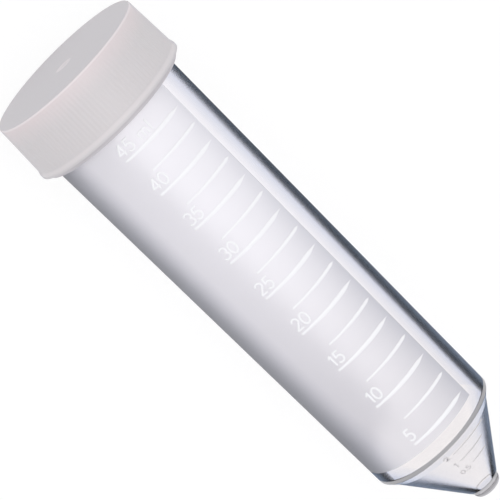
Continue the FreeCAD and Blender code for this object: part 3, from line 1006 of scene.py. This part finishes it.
class OBJECT_OT_tube_screw_cap(bpy.types.Operator):
    """Make the screw cap: flat top, ribbed skirt, flared lip, thread and plug ring in one moulding"""
    bl_idname = "object.tube_screw_cap"
    bl_label = "Screw cap"

    def execute(self, context):
        scene = context.scene
        cap, tube, thread = scene.tube_cap, scene.tube_sizes, scene.tube_thread
        section = cap_section(cap, tube, thread)
        ribs = round(tau * (max(row[0] for row in section) - cap.lip_flare) / cap.rib_pitch)
        mesh = turned_mesh("screw_cap_moulding", section, ribs * cap.facets_per_rib, ribs, thread,
                           painted("cap_polyethylene", cap_plastic, scene.tube_finish, cap))
        finished("screw_cap_moulding", [mesh], "cap", "screw_cap")
        return {"FINISHED"}


FLOOR_REACH = 3.0
LAMPS = (("lamp_over", (0.0, -0.12, 0.93), 0.9, 3.2),    # name, place, width in metres, power in watts
         ("lamp_side", (0.1, 0.9, 0.5), 0.6, 0.2))
SENSOR_WIDTH = 36.0      # in millimetres, as the lens
NEAREST, FURTHEST = 0.01, 20


class OBJECT_OT_tube_stage(bpy.types.Operator):
    """Make the floor, the soft light and the camera"""
    bl_idname = "object.tube_stage"
    bl_label = "Stage"

    def execute(self, context):
        for make in (self.make_floor, self.make_lamps, self.make_world, self.make_camera):
            make(context.scene, context.scene.tube_stage)
        context.scene.view_settings.view_transform = "Standard"
        return {"FINISHED"}

    def make_floor(self, scene, stage):
        mesh = bpy.data.meshes.new("floor")
        corners = ((-1, -1), (1, -1), (1, 1), (-1, 1))
        mesh.from_pydata([(x * FLOOR_REACH, y * FLOOR_REACH, 0) for x, y in corners], [], [(0, 1, 2, 3)])
        mesh.materials.append(painted("floor_paper", floor_paper, stage))
        floor = bpy.data.objects.new("floor", mesh)
        scene.collection.objects.link(floor)

    def make_lamps(self, scene, stage):
        for name, place, width, power in LAMPS:
            lamp = bpy.data.lights.new(name, "AREA")
            lamp.size, lamp.energy, lamp.color = width, power, stage.lamp
            holder = bpy.data.objects.new(name, lamp)
            holder.location = place
            holder.rotation_euler = (-Vector(place)).to_track_quat("-Z", "Y").to_euler()
            scene.collection.objects.link(holder)

    def make_world(self, scene, stage):
        scene.world = bpy.data.worlds.new("studio")
        scene.world.use_nodes = True
        recipe = Recipe(scene.world.node_tree)
        light = recipe.field("ShaderNodeBackground", {
            "Color": blend(recipe, ray_is(recipe, "Camera", "Transmission"), stage.sky, (1, 1, 1)),
            "Strength": 1.0})
        recipe.node("ShaderNodeOutputWorld", {"Surface": light})

    def make_camera(self, scene, stage):
        lens = bpy.data.cameras.new("camera")
        lens.sensor_width, lens.lens = SENSOR_WIDTH, stage.lens
        lens.clip_start, lens.clip_end = NEAREST, FURTHEST
        aim = TIP + UP * stage.aim_height
        back = cos(stage.camera_rise) * FRONT + sin(stage.camera_rise) * UP
        tip_way = (-UP + UP.dot(back) * back).normalized()
        across = cos(stage.camera_roll) * tip_way + sin(stage.camera_roll) * RIGHT
        upward = back.cross(across)
        holder = bpy.data.objects.new("camera", lens)
        holder.matrix_world = (Matrix.Translation(aim + back * stage.camera_distance)
                               @ Matrix((across, upward, back)).transposed().to_4x4())
        scene.collection.objects.link(holder)
        scene.camera = holder


class VIEW3D_PT_conical_tube(bpy.types.Panel):
    """Sizes and finishes of the tube, and its operators"""
    bl_label = "Conical tube"
    bl_idname = "VIEW3D_PT_conical_tube"
    bl_space_type = "VIEW_3D"
    bl_region_type = "UI"
    bl_category = "Conical Tube"

    def draw(self, context):
        for operator in OPERATORS:
            self.layout.operator(operator.bl_idname)
        for name in GROUPS:
            box = self.layout.box()
            group = getattr(context.scene, name)
            for label in group.__annotations__:
                box.prop(group, label)


OPERATORS = (OBJECT_OT_tube_moulding, OBJECT_OT_tube_graduations, OBJECT_OT_tube_screw_cap,
             OBJECT_OT_tube_stage)
GROUPS = {"tube_sizes": TubeSettings, "tube_cap": CapSettings, "tube_thread": ThreadSettings,
          "tube_marks": MarkSettings, "tube_finish": FinishSettings, "tube_stage": StageSettings}


def register():
    for kind in (*GROUPS.values(), *OPERATORS, VIEW3D_PT_conical_tube):
        bpy.utils.register_class(kind)
    for name, kind in GROUPS.items():
        setattr(bpy.types.Scene, name, PointerProperty(type=kind))


def unregister():
    for name in GROUPS:
        delattr(bpy.types.Scene, name)
    for kind in (VIEW3D_PT_conical_tube, *reversed(OPERATORS), *reversed(GROUPS.values())):
        bpy.utils.unregister_class(kind)


def main():
    register()
    bpy.ops.object.tube_moulding()
    bpy.ops.object.tube_graduations()
    bpy.ops.object.tube_screw_cap()
    bpy.ops.object.tube_stage()


if __name__ == "__main__":
    main()
